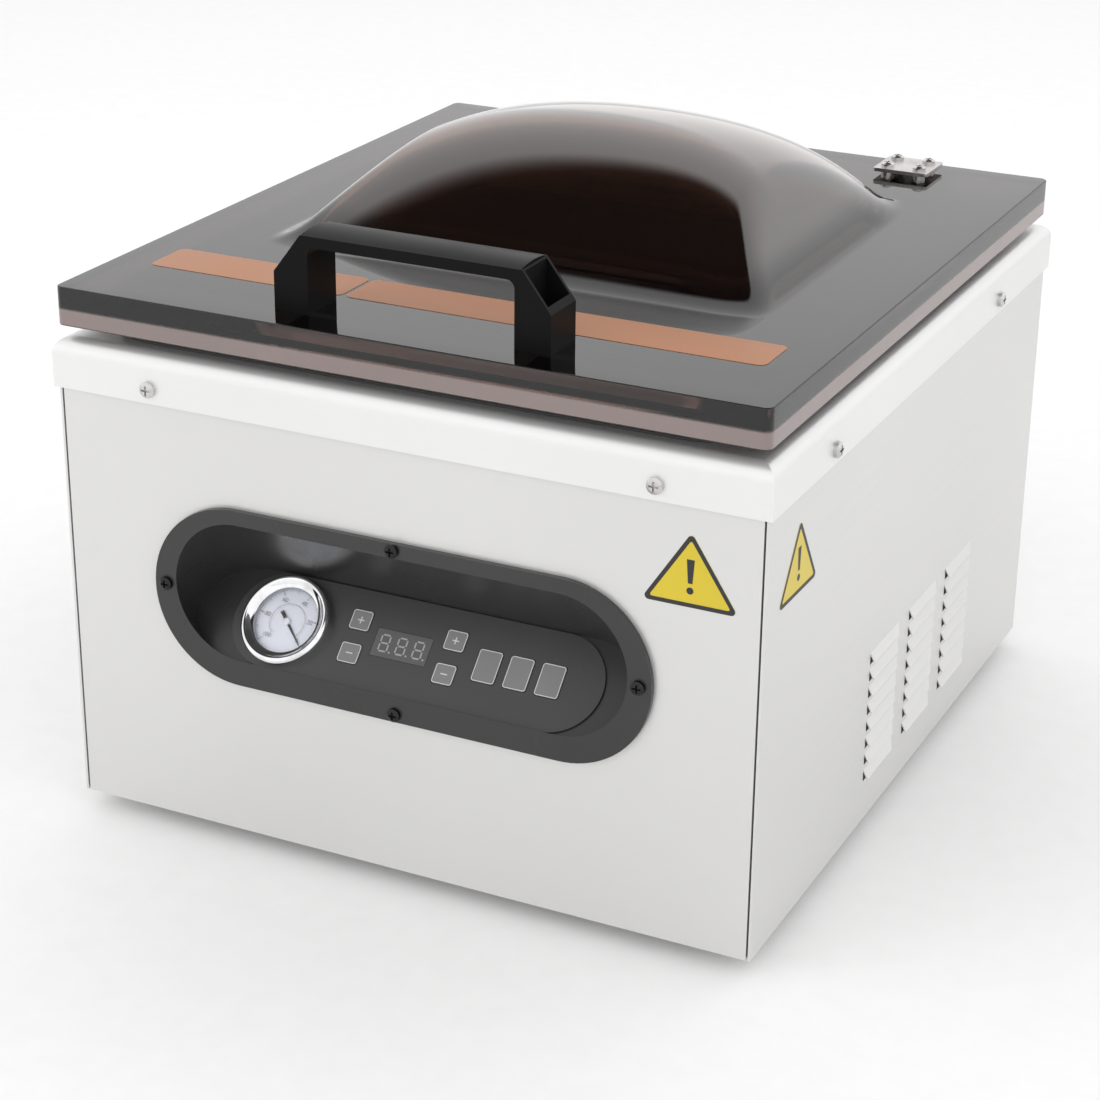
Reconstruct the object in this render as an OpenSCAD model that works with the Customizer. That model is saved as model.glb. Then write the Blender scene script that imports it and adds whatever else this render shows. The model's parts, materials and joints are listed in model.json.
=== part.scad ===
// Chamber vacuum sealer: a stainless steel cabinet with a sloping control pocket,
// a vacuum chamber with a seal bar, and a hinged acrylic lid with a moulded dome.
// Millimetres. +X is to the right seen from the front, the front faces -Y, +Z is up.
// The origin is on the table, under the middle of the cabinet.

/* [Cabinet] */
// Width over the side panels
body_w = 370; // [360:1:380]
// Depth over the front and rear panels
body_d = 412; // [408:1:424]
// Height of the deck's top face above the table
deck_top = 256.6; // [256.6:0.2:262]
// Height of the rubber feet
foot_h = 10; // [8:1:12]
// Thickness of the cabinet sheet
sheet = 1.2; // [1:0.1:1.5]
// Height of the deck's folded lip, below the deck's top face
lip_h = 25; // [24:1:30]

/* [Chamber] */
// Inside width of the chamber
chamber_w = 296; // [280:1:300]
// Inside depth of the chamber, front to back
chamber_d = 310; // [290:1:310]
// Height of the chamber's floor above the table
chamber_floor = 170; // [165:1:180]
// Travel of the seal bar
seal_lift = 9; // [5:1:9]

/* [Lid] */
// Width of the lid
lid_w = 368; // [360:1:370]
// Depth of the lid
lid_d = 410; // [400:1:412]
// Thickness of the lid plate
lid_t = 19.6; // [16:0.2:22]
// Height of the dome above the plate, at its middle
dome_h = 56.4; // [50:0.1:60]
// Wall thickness of the dome, measured vertically
dome_wall = 8; // [6:0.5:10]

/* [Controls] */
// Half length of the bezel flange
bezel_len = 133; // [130:1:136]
// Radius of the bezel flange's round ends
bezel_r = 46.3; // [45:0.1:47]
// Height of the bezel's centre above the table
bezel_z = 139; // [137:1:141]
// Tilt of the control panel from vertical, in degrees
panel_tilt = 45; // [45:1:46]
// Key travel
key_travel = 0.5; // [0.3:0.1:0.5]

/* [Hidden] */
$fn = 48;

steel = [0.82, 0.82, 0.8];
bright = [0.72, 0.72, 0.73];
black = [0.1, 0.1, 0.11];
acrylic = [0.22, 0.17, 0.16, 0.6];

front_y = -body_d / 2;
rear_y = body_d / 2;
side_x = body_w / 2;
plate_bottom = deck_top - sheet;
lip_stand = 2;             // the deck's lip stands this far out from the panels
deck_w = body_w + 2 * lip_stand;
deck_d = body_d + 2 * lip_stand;
deck_bend = 8;
panel_gap = 2.2;           // front and rear panels stop short of the side panels' faces
panel_top = deck_top - 6;  // clear of the inside of the deck's bend

chamber_y = -20;           // middle of the chamber opening
chamber_r = 25;
tub_wall = 1.2;

gasket_w = 336;
gasket_d = 348;
gasket_y = -17;
gasket_tube = 3.05;

lid_y = -2;                // middle of the lid plate
lid_bottom = deck_top + 6.4;
lid_top = lid_bottom + lid_t;

bar_y = -157;              // the seal bar and the counter bar above it
bar_half = 138;
bar_w = 14;
bar_top = lid_bottom - 21;
rod_r = 5;
rod_x = 95;
run = 0.06;                // running fit, radial

hinge_y = 208.5;
hinge_z = lid_bottom - 2.4;
hinge_x = 111.5;
hinge_half = 15.5;
knuckle_r = 3.6;
pin_r = 1.5;
pin_bore = 1.52;
leaf_t = 1.8;

flange_t = 3;
pocket_r = 36;
pocket_len = 121;
pocket_wall = 1.8;
pocket_depth = 16.8;       // from the cabinet's front face back to the panel's middle
panel_y = front_y + pocket_depth;
panel_z = bezel_z - pocket_depth;
plate_len = 100;
plate_r = 25;
plate_t = 1.2;
gauge_x = -70;
gauge_r = 23.4;

handle_y = -189.5;         // front face of the handle
handle_d = 25.5;
handle_half = 71.5;
handle_leg = 18.2;
handle_h = 38;

// ---------- helpers ----------

// Straight-sided outline with round ends, along x
module stadium(half_len, r) {
    square([2 * (half_len - r), 2 * r], center = true);
    for (s = [-1, 1]) translate([s * (half_len - r), 0]) circle(r, $fn = 96);
}

module rounded(w, d, r) {
    square([w - 2 * r, d], center = true);
    square([w, d - 2 * r], center = true);
    for (sx = [-1, 1], sy = [-1, 1]) translate([sx * (w / 2 - r), sy * (d / 2 - r)]) circle(r);
}

// Sheet drawn in x and z, built forwards (towards -Y) from plane y
module facing_front(y) { translate([0, y, 0]) rotate([90, 0, 0]) children(); }

// Sheet drawn in x and z, built backwards (towards +Y) from plane y
module facing_back(y) { translate([0, y, 0]) mirror([0, 1, 0]) rotate([90, 0, 0]) children(); }

// Sheet drawn in y and z, built outwards (towards +X) from plane x
module facing_right(x) { translate([x, 0, 0]) rotate([90, 0, 90]) children(); }

// The control panel's own frame: x to the right, y up the slope, z out of the face
module on_panel(z = 0) {
    translate([0, panel_y, panel_z]) rotate([panel_tilt, 0, 0]) translate([0, 0, z]) children();
}

module both_sides() {
    children();
    mirror([1, 0, 0]) children();
}

// Pan-head screw with a cross recess, pointing along -z, the head's seat at z = 0
module pan_screw(head_r, shank_r, len) {
    difference() {
        union() {
            cylinder(h = 0.45 * head_r, r = head_r);
            translate([0, 0, 0.45 * head_r]) cylinder(h = 0.25 * head_r, r1 = head_r, r2 = 0.6 * head_r);
            translate([0, 0, -len]) cylinder(h = len, r = shank_r);
        }
        for (a = [0, 90])
            rotate(a) translate([-0.6 * head_r, -0.12 * head_r, 0.3 * head_r])
                cube([1.2 * head_r, 0.24 * head_r, head_r]);
    }
}

// ---------- cabinet ----------

post_w = 16;
base_in = sheet;           // the base pan and posts touch the panels' inner faces

module base_pan() {
    w = body_w - 2 * base_in;
    d = body_d - 2 * base_in;
    color(steel) difference() {
        translate([-w / 2, -d / 2, foot_h]) cube([w, d, 1.5]);
        for (sx = [-1, 1], sy = [-1, 1])
            translate([sx * foot_x, sy * foot_y, foot_h - 1]) cylinder(h = 4, r = 2.1);
        for (i = [0 : 7])
            translate([-60, 68 + i * 12, foot_h - 1]) cube([120, 4, 4]);
    }
}

module corner_posts() {
    x0 = side_x - base_in;
    y0 = body_d / 2 - base_in;
    h = panel_top - foot_h - 2.5;
    color(steel)
        for (sx = [0, 1], sy = [0, 1])
            mirror([sx, 0, 0]) mirror([0, sy, 0])
                translate([x0 - post_w, y0 - post_w, foot_h + 1.5]) difference() {
                    cube([post_w, post_w, h]);
                    translate([-1, -1, -1]) cube([post_w - 0.5, post_w - 0.5, h + 2]);
                }
}

lip_screw_z = deck_top - 17.6;
front_screw_x = 132;
side_screws_y = [-131, 115.5];

module front_panel() {
    color(steel) facing_front(front_y + sheet) linear_extrude(sheet) difference() {
        translate([-side_x + panel_gap, foot_h]) square([body_w - 2 * panel_gap, panel_top - foot_h]);
        translate([0, bezel_z]) stadium(bezel_len - 9.6, bezel_r - 6.9);
        for (p = bezel_screws_xz) translate([p.x, p.y]) circle(1.5);
        for (s = [-1, 1]) translate([s * front_screw_x, lip_screw_z]) circle(2);
    }
}

louvre_len = 42;
louvre_h = 4.8;
louvre_out = 2.6;
louvre_wall = 0.45;
louvre_close = 6;
louvre_root = 0.6;
louvre_slot = 6;
louvre_pitch = 9.33;
louvre_cols = [-57, 1.5, 60];
louvre_top = 105;
louvre_rows = 8;

// Wedge that stands out of the sheet, thicker towards its bottom and sloping in at its far end
module louvre_wedge() {
    intersection() {
        rotate([-90, 0, 0]) linear_extrude(louvre_len)
            polygon([[-sheet, 0], [0, 0], [louvre_out, louvre_h], [-sheet, louvre_h]]);
        translate([0, 0, -louvre_h]) linear_extrude(louvre_h)
            polygon([[-sheet, 0], [louvre_out, 0], [louvre_out, louvre_len - louvre_close],
                [0, louvre_len], [-sheet, louvre_len]]);
    }
}

// Flap pressed out of the sheet: joined at its top and far end, open below and at its near end
module louvre() {
    difference() {
        louvre_wedge();
        translate([-louvre_wall, -louvre_wall, -louvre_wall]) louvre_wedge();
    }
}

module side_panel() {
    difference() {
        facing_right(side_x - sheet) linear_extrude(sheet) difference() {
            translate([front_y, foot_h]) square([body_d, panel_top - foot_h]);
            for (y = side_screws_y) translate([y, lip_screw_z]) circle(2);
        }
        for (y = louvre_cols, i = [0 : louvre_rows - 1])
            translate([side_x - 2 * sheet, y, louvre_top - i * louvre_pitch - louvre_root - louvre_slot])
                cube([3 * sheet, louvre_len, louvre_slot]);
    }
    for (y = louvre_cols, i = [0 : louvre_rows - 1])
        translate([side_x, y, louvre_top - i * louvre_pitch]) louvre();
}

module side_panel_right() { color(steel) side_panel(); }
module side_panel_left() { color(steel) mirror([1, 0, 0]) side_panel(); }

fan_x = -95;
fan_z = 95;
fan_size = 80;
inlet_x = 120;
inlet_z = 60;
inlet_w = 27;
inlet_h = 20;

module rear_panel() {
    color(steel) facing_back(rear_y - sheet) linear_extrude(sheet) difference() {
        translate([-side_x + panel_gap, foot_h]) square([body_w - 2 * panel_gap, panel_top - foot_h]);
        translate([inlet_x, inlet_z]) square([inlet_w + 1, inlet_h + 1], center = true);
        for (i = [-5 : 5])
            translate([fan_x, fan_z + i * 6.4])
                square([2 * sqrt(pow(36, 2) - pow(i * 6.4, 2)) - 2, 3], center = true);
        for (s = [-1, 1]) translate([s * front_screw_x, lip_screw_z]) circle(2);
    }
}

// Outline of the deck seen end on: wide and low, with bent top corners
module deck_profile(half, r, bottom, top) {
    translate([-half, bottom]) square([2 * half, top - r - bottom]);
    translate([-half + r, bottom]) square([2 * (half - r), top - bottom]);
    for (s = [-1, 1]) translate([s * (half - r), top - r]) circle(r);
}

module deck_shell(inset, bottom) {
    intersection() {
        facing_front(deck_d) linear_extrude(2 * deck_d)
            deck_profile(deck_w / 2 - inset, deck_bend - inset, bottom, deck_top - inset);
        facing_right(-deck_w) linear_extrude(2 * deck_w)
            deck_profile(deck_d / 2 - inset, deck_bend - inset, bottom, deck_top - inset);
    }
}

module chamber_deck() {
    color(steel) difference() {
        deck_shell(0, deck_top - lip_h);
        deck_shell(sheet, deck_top - lip_h - 5);
        translate([0, chamber_y, deck_top - 10]) linear_extrude(20)
            rounded(chamber_w, chamber_d, chamber_r);
        for (s = [-1, 1], e = [-1, 1])
            translate([s * front_screw_x, e * deck_d / 2, lip_screw_z])
                rotate([90, 0, 0]) cylinder(h = 8, r = 2.05, center = true);
        for (s = [-1, 1], y = side_screws_y)
            translate([s * deck_w / 2, y, lip_screw_z])
                rotate([0, 90, 0]) cylinder(h = 8, r = 2.05, center = true);
    }
}

module deck_screw() { pan_screw(4, 1.95, 7); }

module deck_screws() {
    color(bright) {
        for (s = [-1, 1]) {
            translate([s * front_screw_x, -deck_d / 2, lip_screw_z]) rotate([90, 0, 0]) deck_screw();
            translate([s * front_screw_x, deck_d / 2, lip_screw_z]) rotate([-90, 0, 0]) deck_screw();
        }
        for (s = [0, 1], y = side_screws_y)
            mirror([s, 0, 0]) translate([deck_w / 2, y, lip_screw_z]) rotate([0, 90, 0]) deck_screw();
    }
}

foot_x = 150;
foot_y = 165;

module rubber_feet() {
    color(black)
        for (sx = [-1, 1], sy = [-1, 1]) translate([sx * foot_x, sy * foot_y, 0]) difference() {
            cylinder(h = foot_h, r1 = 10, r2 = 12);
            translate([0, 0, -1]) cylinder(h = 5.5, r = 4.5);
            cylinder(h = foot_h + 1, r = 2.05);
        }
}

module foot_screws() {
    color(bright)
        for (sx = [-1, 1], sy = [-1, 1])
            translate([sx * foot_x, sy * foot_y, 4.5]) rotate([180, 0, 0]) pan_screw(3.8, 1.95, 12);
}

// ---------- chamber ----------

module chamber_tub() {
    flange = 8;
    color(steel) difference() {
        union() {
            translate([0, chamber_y, chamber_floor - tub_wall])
                linear_extrude(plate_bottom - chamber_floor + tub_wall)
                    rounded(chamber_w + 2 * tub_wall, chamber_d + 2 * tub_wall, chamber_r + tub_wall);
            translate([0, chamber_y, plate_bottom - tub_wall]) linear_extrude(tub_wall)
                rounded(chamber_w + 2 * flange, chamber_d + 2 * flange, chamber_r + flange);
        }
        translate([0, chamber_y, chamber_floor]) linear_extrude(100)
            rounded(chamber_w, chamber_d, chamber_r);
        for (s = [-1, 1])
            translate([s * rod_x, bar_y, chamber_floor - 5]) cylinder(h = 10, r = rod_r + run);
        for (x = valve_xs)
            translate([x, valve_y, chamber_floor - 5]) cylinder(h = 10, r = 2.6);
    }
}

// A closed rounded-rectangle ring of the given cross-section, drawn about its own centre line
module gasket_run(w, d, r) {
    for (sx = [-1, 1], sy = [-1, 1])
        translate([sx * (w / 2 - r), sy * (d / 2 - r), 0])
            rotate([0, 0, sx > 0 ? (sy > 0 ? 0 : 270) : (sy > 0 ? 90 : 180)])
                rotate_extrude(angle = 90) translate([r, 0]) children();
    for (s = [-1, 1]) {
        translate([s * w / 2, d / 2 - r, 0]) rotate([90, 0, 0]) linear_extrude(d - 2 * r) children();
        translate([-w / 2 + r, s * d / 2, 0]) rotate([90, 0, 90]) linear_extrude(w - 2 * r) children();
    }
}

module chamber_gasket() {
    color([0.2, 0.2, 0.21]) translate([0, gasket_y, deck_top + gasket_tube])
        gasket_run(gasket_w, gasket_d, 30) union() {
            circle(gasket_tube);
            translate([-gasket_tube - 1, -gasket_tube]) square([2 * gasket_tube + 2, 1.4]);
        }
}

// ---------- controls ----------

bezel_screws_xz = [[0, bezel_z + 42.9], [0, bezel_z - 42.2],
    [-126.6, bezel_z + 0.8], [126.6, bezel_z + 0.8]];

// Outline of a round-ended opening seen square on to the tilted panel
function slope_outline(half_len, r, n = 32) = concat(
    [for (i = [0 : n]) let (a = -90 + 180 * i / n)
        [half_len - r + r * cos(a), r * sin(a) * cos(panel_tilt)]],
    [for (i = [0 : n]) let (a = -90 + 180 * i / n)
        [r - half_len - r * cos(a), -r * sin(a) * cos(panel_tilt)]]);

module bezel_holes() {
    for (p = bezel_screws_xz)
        facing_front(front_y + 6) translate([p.x, p.y, 0]) cylinder(h = 20, r = 1.52);
}

module control_bezel() {
    color([0.2, 0.2, 0.2]) difference() {
        union() {
            translate([0, 0, bezel_z]) facing_front(front_y) linear_extrude(flange_t)
                stadium(bezel_len, bezel_r);
            intersection() {
                on_panel(-plate_t - 2) linear_extrude(80)
                    polygon(slope_outline(pocket_len + pocket_wall, pocket_r + pocket_wall));
                translate([-200, front_y - 0.01, 0]) cube([400, 100, 260]);
            }
        }
        on_panel(-plate_t) linear_extrude(90) polygon(slope_outline(pocket_len, pocket_r));
        on_panel(-10) translate([gauge_x, 0, 0]) cylinder(h = 20, r = 22.2, $fn = 96);
        bezel_holes();
    }
}

module bezel_screws() {
    color(black)
        for (p = bezel_screws_xz)
            facing_front(front_y - flange_t) translate([p.x, p.y, 0]) pan_screw(3.4, 1.45, 8);
}

small_key = [10.8, 10.2];
large_key = [12.2, 16.4];
keys = [[-32.2, 9.1, small_key], [-32.2, -8.3, small_key],
    [19.6, 9.1, small_key], [19.6, -8.3, small_key],
    [39.6, 0, large_key], [56.3, 0, large_key], [73, 0, large_key]];
display = [-6.9, 0.4];
display_size = [30, 14.4];

module membrane_panel() {
    color([0.28, 0.28, 0.28]) on_panel(-plate_t) linear_extrude(plate_t) difference() {
        stadium(plate_len, plate_r);
        translate([gauge_x, 0]) circle(22.2, $fn = 96);
        for (k = keys) translate([k[0], k[1]]) rounded(k[2].x + 0.6, k[2].y + 0.6, 1.5);
        translate(display) square([display_size.x + 0.4, display_size.y + 0.4], center = true);
    }
}

module display_window() {
    color([0.4, 0.4, 0.4]) on_panel(-plate_t) translate(display) linear_extrude(plate_t + 0.02)
        square(display_size, center = true);
}

// One seven-segment figure with every bar showing
module segments(w, h, t) {
    for (y = [-h / 2, 0, h / 2]) translate([0, y]) square([w - 1.3 * t, t], center = true);
    for (x = [-w / 2, w / 2], y = [-h / 4, h / 4])
        translate([x, y]) square([t, h / 2 - 1.3 * t], center = true);
}

module display_digits() {
    color([0.75, 0.75, 0.75]) on_panel(0.02) translate(display)
        for (i = [-1, 0, 1]) translate([i * 9.2, 0]) {
            linear_extrude(0.12) segments(4.6, 8.4, 0.8);
            translate([3.9, -4.2]) cylinder(h = 0.12, r = 0.5);
        }
}

key_t = 1;
key_proud = 0.5;

module key(i) {
    k = keys[i];
    color([0.48, 0.48, 0.48]) on_panel(key_proud - key_t) translate([k[0], k[1], 0]) linear_extrude(key_t)
        rounded(k[2].x, k[2].y, 1.4);
}
module key_vac_plus() { key(0); }
module key_vac_minus() { key(1); }
module key_seal_plus() { key(2); }
module key_seal_minus() { key(3); }
module key_start() { key(4); }
module key_seal() { key(5); }
module key_power() { key(6); }

module at_gauge(z) { on_panel(z) translate([gauge_x, 0, 0]) children(); }

module gauge_case() {
    color(black) at_gauge(0) difference() {
        union() {
            translate([0, 0, -26]) cylinder(h = 27.8, r = 22, $fn = 96);
            translate([0, 0, -34]) cylinder(h = 9, r = 5);
        }
        translate([0, 0, -24.8]) cylinder(h = 40, r = 20.8, $fn = 96);
    }
}

// Bright rim: a skirt over the case, a rounded bead and a lip over the lens
module gauge_ring() {
    color([0.85, 0.85, 0.86]) at_gauge(0) rotate_extrude($fn = 128) {
        translate([22.1, 0]) square([gauge_r - 22.1, 4]);
        translate([gauge_r - 2, 4]) circle(2);
        translate([18.2, 3.5]) square([2.4, 0.8]);
    }
}

module gauge_dial() {
    color([0.88, 0.89, 0.93]) at_gauge(0.2) difference() {
        cylinder(h = 0.6, r = 20.6, $fn = 96);
        translate([0, 0, -1]) cylinder(h = 3, r = 0.65);
    }
}

needle_angle = -45;        // resting angle of the pointer in the panel's frame

module gauge_needle() {
    color(black) at_gauge(0) {
        translate([0, 0, -1.5]) cylinder(h = 3, r = 0.6);
        translate([0, 0, 1]) cylinder(h = 0.9, r = 1.7);
        rotate(needle_angle) translate([0, 0, 1.1]) linear_extrude(0.5)
            polygon([[-6.5, 1], [-6.5, -1], [0, -0.7], [14.6, -0.2], [14.6, 0.2], [0, 0.7]]);
    }
}

module gauge_lens() {
    color([0.9, 0.95, 1, 0.3]) at_gauge(2.4) cylinder(h = 1, r = 19.3, $fn = 96);
}

module control_board() {
    color([0.1, 0.35, 0.2]) on_panel(-14) {
        translate([-38, -20, 0]) cube([130, 40, 1.6]);
        for (k = keys) translate([k[0] - 3, k[1] - 3, 1.6]) cube([6, 6, 4]);
        translate([display.x - 14, -6, 1.6]) cube([28, 13, 6]);
        translate([60, -15, -9]) cube([14, 18, 9]);
    }
}

// ---------- seal bar ----------

bar_h = 22;

module seal_bar() {
    color([0.75, 0.75, 0.77]) difference() {
        translate([-bar_half, bar_y - bar_w / 2, bar_top - 0.8 - bar_h]) cube([2 * bar_half, bar_w, bar_h]);
        translate([-bar_half - 1, bar_y - 3, bar_top - 0.8 - 1]) cube([2 * bar_half + 2, 6, 5]);
    }
}

module heating_element() {
    color([0.6, 0.55, 0.5])
        translate([-bar_half, bar_y - 2.5, bar_top - 1.8]) cube([2 * bar_half, 5, 1]);
}

module ptfe_cover() {
    color([0.55, 0.38, 0.25]) difference() {
        translate([-bar_half, bar_y - bar_w / 2 - 0.4, bar_top - 12]) cube([2 * bar_half, bar_w + 0.8, 12]);
        translate([-bar_half - 1, bar_y - bar_w / 2, bar_top - 13]) cube([2 * bar_half + 2, bar_w, 12.2]);
    }
}

rod_bottom = 142;

module seal_bar_rods() {
    cover_and_element = 0.8;
    bar_bottom = bar_top - cover_and_element - bar_h;
    color(bright)
        for (s = [-1, 1])
            translate([s * rod_x, bar_y, rod_bottom]) cylinder(h = bar_bottom - rod_bottom, r = rod_r);
}

module lift_cylinders() {
    color(black)
        for (s = [-1, 1]) translate([s * rod_x, bar_y, 0]) difference() {
            translate([0, 0, rod_bottom - 2])
                cylinder(h = chamber_floor - tub_wall - rod_bottom + 2, r = 9);
            translate([0, 0, rod_bottom - 0.5]) cylinder(h = 60, r = rod_r + run);
        }
}

// ---------- works under the chamber ----------

pump_x = -70;
pump_y = 20;

pump_port_x = -46;
pump_port_z = 130;

module vacuum_pump() {
    color([0.35, 0.36, 0.38]) {
        translate([pump_x, pump_y, 26]) {
            translate([-45, -38, 0]) cube([90, 76, 84]);
            translate([-38, -32, 84]) cube([76, 64, 16]);
            for (i = [0 : 6]) translate([-49, -34 + i * 10.6, 20]) cube([98, 4, 60]);
        }
        translate([pump_port_x, pump_y, 120]) cylinder(h = pump_port_z - 120, r = 6);
    }
}

module pump_motor() {
    color([0.25, 0.27, 0.3]) translate([pump_x + 49, pump_y, 66]) rotate([0, 90, 0]) {
        cylinder(h = 12, r = 34);
        translate([0, 0, 12]) cylinder(h = 95, r = 38);
        translate([0, 0, 107]) cylinder(h = 10, r = 30);
    }
}

module pump_mounts() {
    color(black)
        for (sx = [-1, 1], sy = [-1, 1])
            translate([pump_x + sx * 34, pump_y + sy * 28, foot_h + 1.5]) cylinder(h = 14.5, r = 8);
}

fan_d = 25;

module at_fan() { facing_back(rear_y - sheet - fan_d) translate([fan_x, fan_z, 0]) children(); }

module fan_frame() {
    hub_r = 18;
    duct_r = 37.5;
    color(black) at_fan() {
        linear_extrude(fan_d) difference() {
            rounded(fan_size, fan_size, 5);
            circle(duct_r, $fn = 96);
            for (sx = [-1, 1], sy = [-1, 1]) translate([sx * 35.7, sy * 35.7]) circle(2.1);
        }
        linear_extrude(2.5) difference() {
            union() {
                circle(hub_r);
                for (a = [0, 90]) rotate(a) square([2 * duct_r + 2, 4], center = true);
            }
            circle(2 + run);
        }
    }
}

module fan_rotor() {
    color([0.2, 0.2, 0.22]) at_fan() {
        translate([0, 0, 0.4]) cylinder(h = 6, r = 2);
        translate([0, 0, 4]) cylinder(h = 18, r = 17);
        for (i = [0 : 6]) rotate(i * 360 / 7) translate([15, 0, 5])
            rotate([35, 0, 0]) translate([0, -0.8, 0]) cube([20, 1.6, 17]);
    }
}

module transformer() {
    color([0.3, 0.25, 0.2]) translate([105, -80, foot_h + 1.5]) {
        translate([-32, -38, 0]) cube([64, 76, 60]);
        translate([-40, -26, 8]) cube([80, 52, 44]);
    }
}

valve_xs = [pump_port_x, 40];
valve_y = 110;
valve_w = 28;
valve_top = 152;

module solenoid_valves() {
    color([0.2, 0.3, 0.35])
        for (x = valve_xs) translate([x, valve_y, 0]) difference() {
            union() {
                translate([-valve_w / 2, -valve_w / 2, 118]) cube([valve_w, valve_w, valve_top - 118]);
                translate([0, 0, valve_top]) cylinder(h = chamber_floor - tub_wall - valve_top, r = 5);
            }
            translate([0, 0, valve_top - 1]) cylinder(h = 30, r = 2.5);
        }
}

hose_r = 5;
hose_bend = 12;

// One hose from the pump's head to the first valve, one from the second valve to a lift cylinder
module vacuum_hoses() {
    valve_front = valve_y - valve_w / 2;
    lift_z = 146;
    lift_side = rod_x - 9;
    color([0.8, 0.35, 0.25]) {
        translate([pump_port_x, pump_y + hose_bend, pump_port_z]) rotate([90, 0, -90])
            rotate_extrude(angle = 90) translate([hose_bend, 0]) circle(hose_r);
        translate([pump_port_x, pump_y + hose_bend, pump_port_z + hose_bend]) rotate([-90, 0, 0])
            cylinder(h = valve_front - pump_y - hose_bend, r = hose_r);
        translate([valve_xs[1], valve_front, lift_z]) rotate([90, 0, 0])
            cylinder(h = valve_front - bar_y - hose_bend, r = hose_r);
        translate([valve_xs[1] + hose_bend, bar_y + hose_bend, lift_z]) rotate(180)
            rotate_extrude(angle = 90) translate([hose_bend, 0]) circle(hose_r);
        translate([valve_xs[1] + hose_bend, bar_y, lift_z]) rotate([0, 90, 0])
            cylinder(h = lift_side - valve_xs[1] - hose_bend, r = hose_r);
    }
}

inlet_wall = 2;
inlet_pins_xz = [[-7, -2], [0, 3], [7, -2]];

module mains_inlet() {
    color(black) difference() {
        union() {
            facing_back(rear_y) translate([inlet_x, inlet_z, 0]) linear_extrude(2.5) rounded(32, 26, 3);
            facing_front(rear_y + 0.5) translate([inlet_x, inlet_z, 0]) linear_extrude(24)
                square([inlet_w, inlet_h], center = true);
        }
        facing_front(rear_y + 4) translate([inlet_x, inlet_z, 0]) linear_extrude(24)
            square([inlet_w - 2 * inlet_wall, inlet_h - 2 * inlet_wall], center = true);
        for (p = inlet_pins_xz)
            facing_front(rear_y) translate([inlet_x + p.x, inlet_z + p.y, 0])
                linear_extrude(30) square([2, 4], center = true);
    }
}

module inlet_pins() {
    color(bright)
        for (p = inlet_pins_xz)
            facing_front(rear_y - 6) translate([inlet_x + p.x, inlet_z + p.y, 0])
                linear_extrude(24) square([2, 4], center = true);
}

// ---------- stickers ----------

// Triangle with rounded corners, standing on its base
module sticker_outline(w, h, r) {
    base = atan(2 * h / w);
    inset = r / tan(base / 2);
    top = h - r / cos(base);
    polygon(concat(
        [for (a = [-90 : 15 : 90 - base]) [w / 2 - inset + r * cos(a), r + r * sin(a)]],
        [for (a = [90 - base : 15 : 90 + base]) [r * cos(a), top + r * sin(a)]],
        [for (a = [90 + base : 15 : 270]) [inset - w / 2 + r * cos(a), r + r * sin(a)]]));
}

sticker_w = 47;
sticker_h = 36;
sticker_t = 0.15;
front_sticker = [149, 183];     // middle of the base, across and up
side_sticker = [-167, 181.5];

module sticker() { linear_extrude(sticker_t) sticker_outline(sticker_w, sticker_h, 2); }

module safety_stickers() {
    color([0.86, 0.78, 0.24]) {
        facing_front(front_y) translate(front_sticker) sticker();
        facing_right(side_x) translate(side_sticker) sticker();
    }
}

// ---------- hinges ----------

module knuckle(x0, x1, bore) {
    translate([x0, hinge_y, hinge_z]) rotate([0, 90, 0]) difference() {
        cylinder(h = x1 - x0, r = knuckle_r);
        translate([0, 0, -1]) cylinder(h = x1 - x0 + 2, r = bore);
    }
}

bracket_low = 232;

module hinge_brackets() {
    x0 = hinge_x - hinge_half;
    x1 = hinge_x + hinge_half;
    color(bright) both_sides() {
        knuckle(x0, x0 + 7, pin_bore);
        knuckle(x1 - 7, x1, pin_bore);
        difference() {
            facing_back(deck_d / 2) linear_extrude(leaf_t) difference() {
                translate([x0, bracket_low]) square([2 * hinge_half, hinge_z - bracket_low]);
                translate([x0 + 7, hinge_z - 5]) square([2 * hinge_half - 14, 8]);
            }
            translate([x0 - 1, hinge_y, hinge_z]) rotate([0, 90, 0]) cylinder(h = 40, r = pin_bore);
            for (x = [x0 + 8, x1 - 8])
                facing_back(deck_d / 2 - 1) translate([x, bracket_low + 6, 0]) cylinder(h = 5, r = 1.6);
        }
    }
}

module hinge_pins() {
    color(bright) both_sides()
        translate([hinge_x - hinge_half - 1, hinge_y, hinge_z]) rotate([0, 90, 0])
            cylinder(h = 2 * hinge_half + 2, r = pin_r);
}

module bracket_screws() {
    color(bright) both_sides()
        for (x = [hinge_x - 7.5, hinge_x + 7.5])
            translate([x, deck_d / 2 + leaf_t, bracket_low + 6])
                rotate([-90, 0, 0]) pan_screw(2.4, 1.5, 1.7);
}

module hinge_leaves() {
    x0 = hinge_x - hinge_half;
    color(bright) both_sides() {
        knuckle(x0 + 7.3, x0 + 2 * hinge_half - 7.3, pin_r + run);
        difference() {
            translate([x0 + 7.3, hinge_y - 42, lid_bottom - leaf_t])
                cube([2 * hinge_half - 14.6, 42, leaf_t]);
            translate([x0, hinge_y, hinge_z]) rotate([0, 90, 0]) cylinder(h = 40, r = knuckle_r - 0.4);
        }
    }
}

plate_y = 178.3;
spacer_h = 2.6;
top_plate_t = 2;
hinge_bolts = [for (dx = [-9, 9], dy = [-8.2, 8.2]) [hinge_x + dx, plate_y + dy]];

module hinge_plates() {
    color(bright) both_sides() translate([0, 0, lid_top + spacer_h])
        linear_extrude(top_plate_t) difference() {
            translate([hinge_x, plate_y]) rounded(2 * hinge_half, 28.4, 1.5);
            for (p = hinge_bolts) translate(p) circle(2.05);
        }
}

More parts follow.
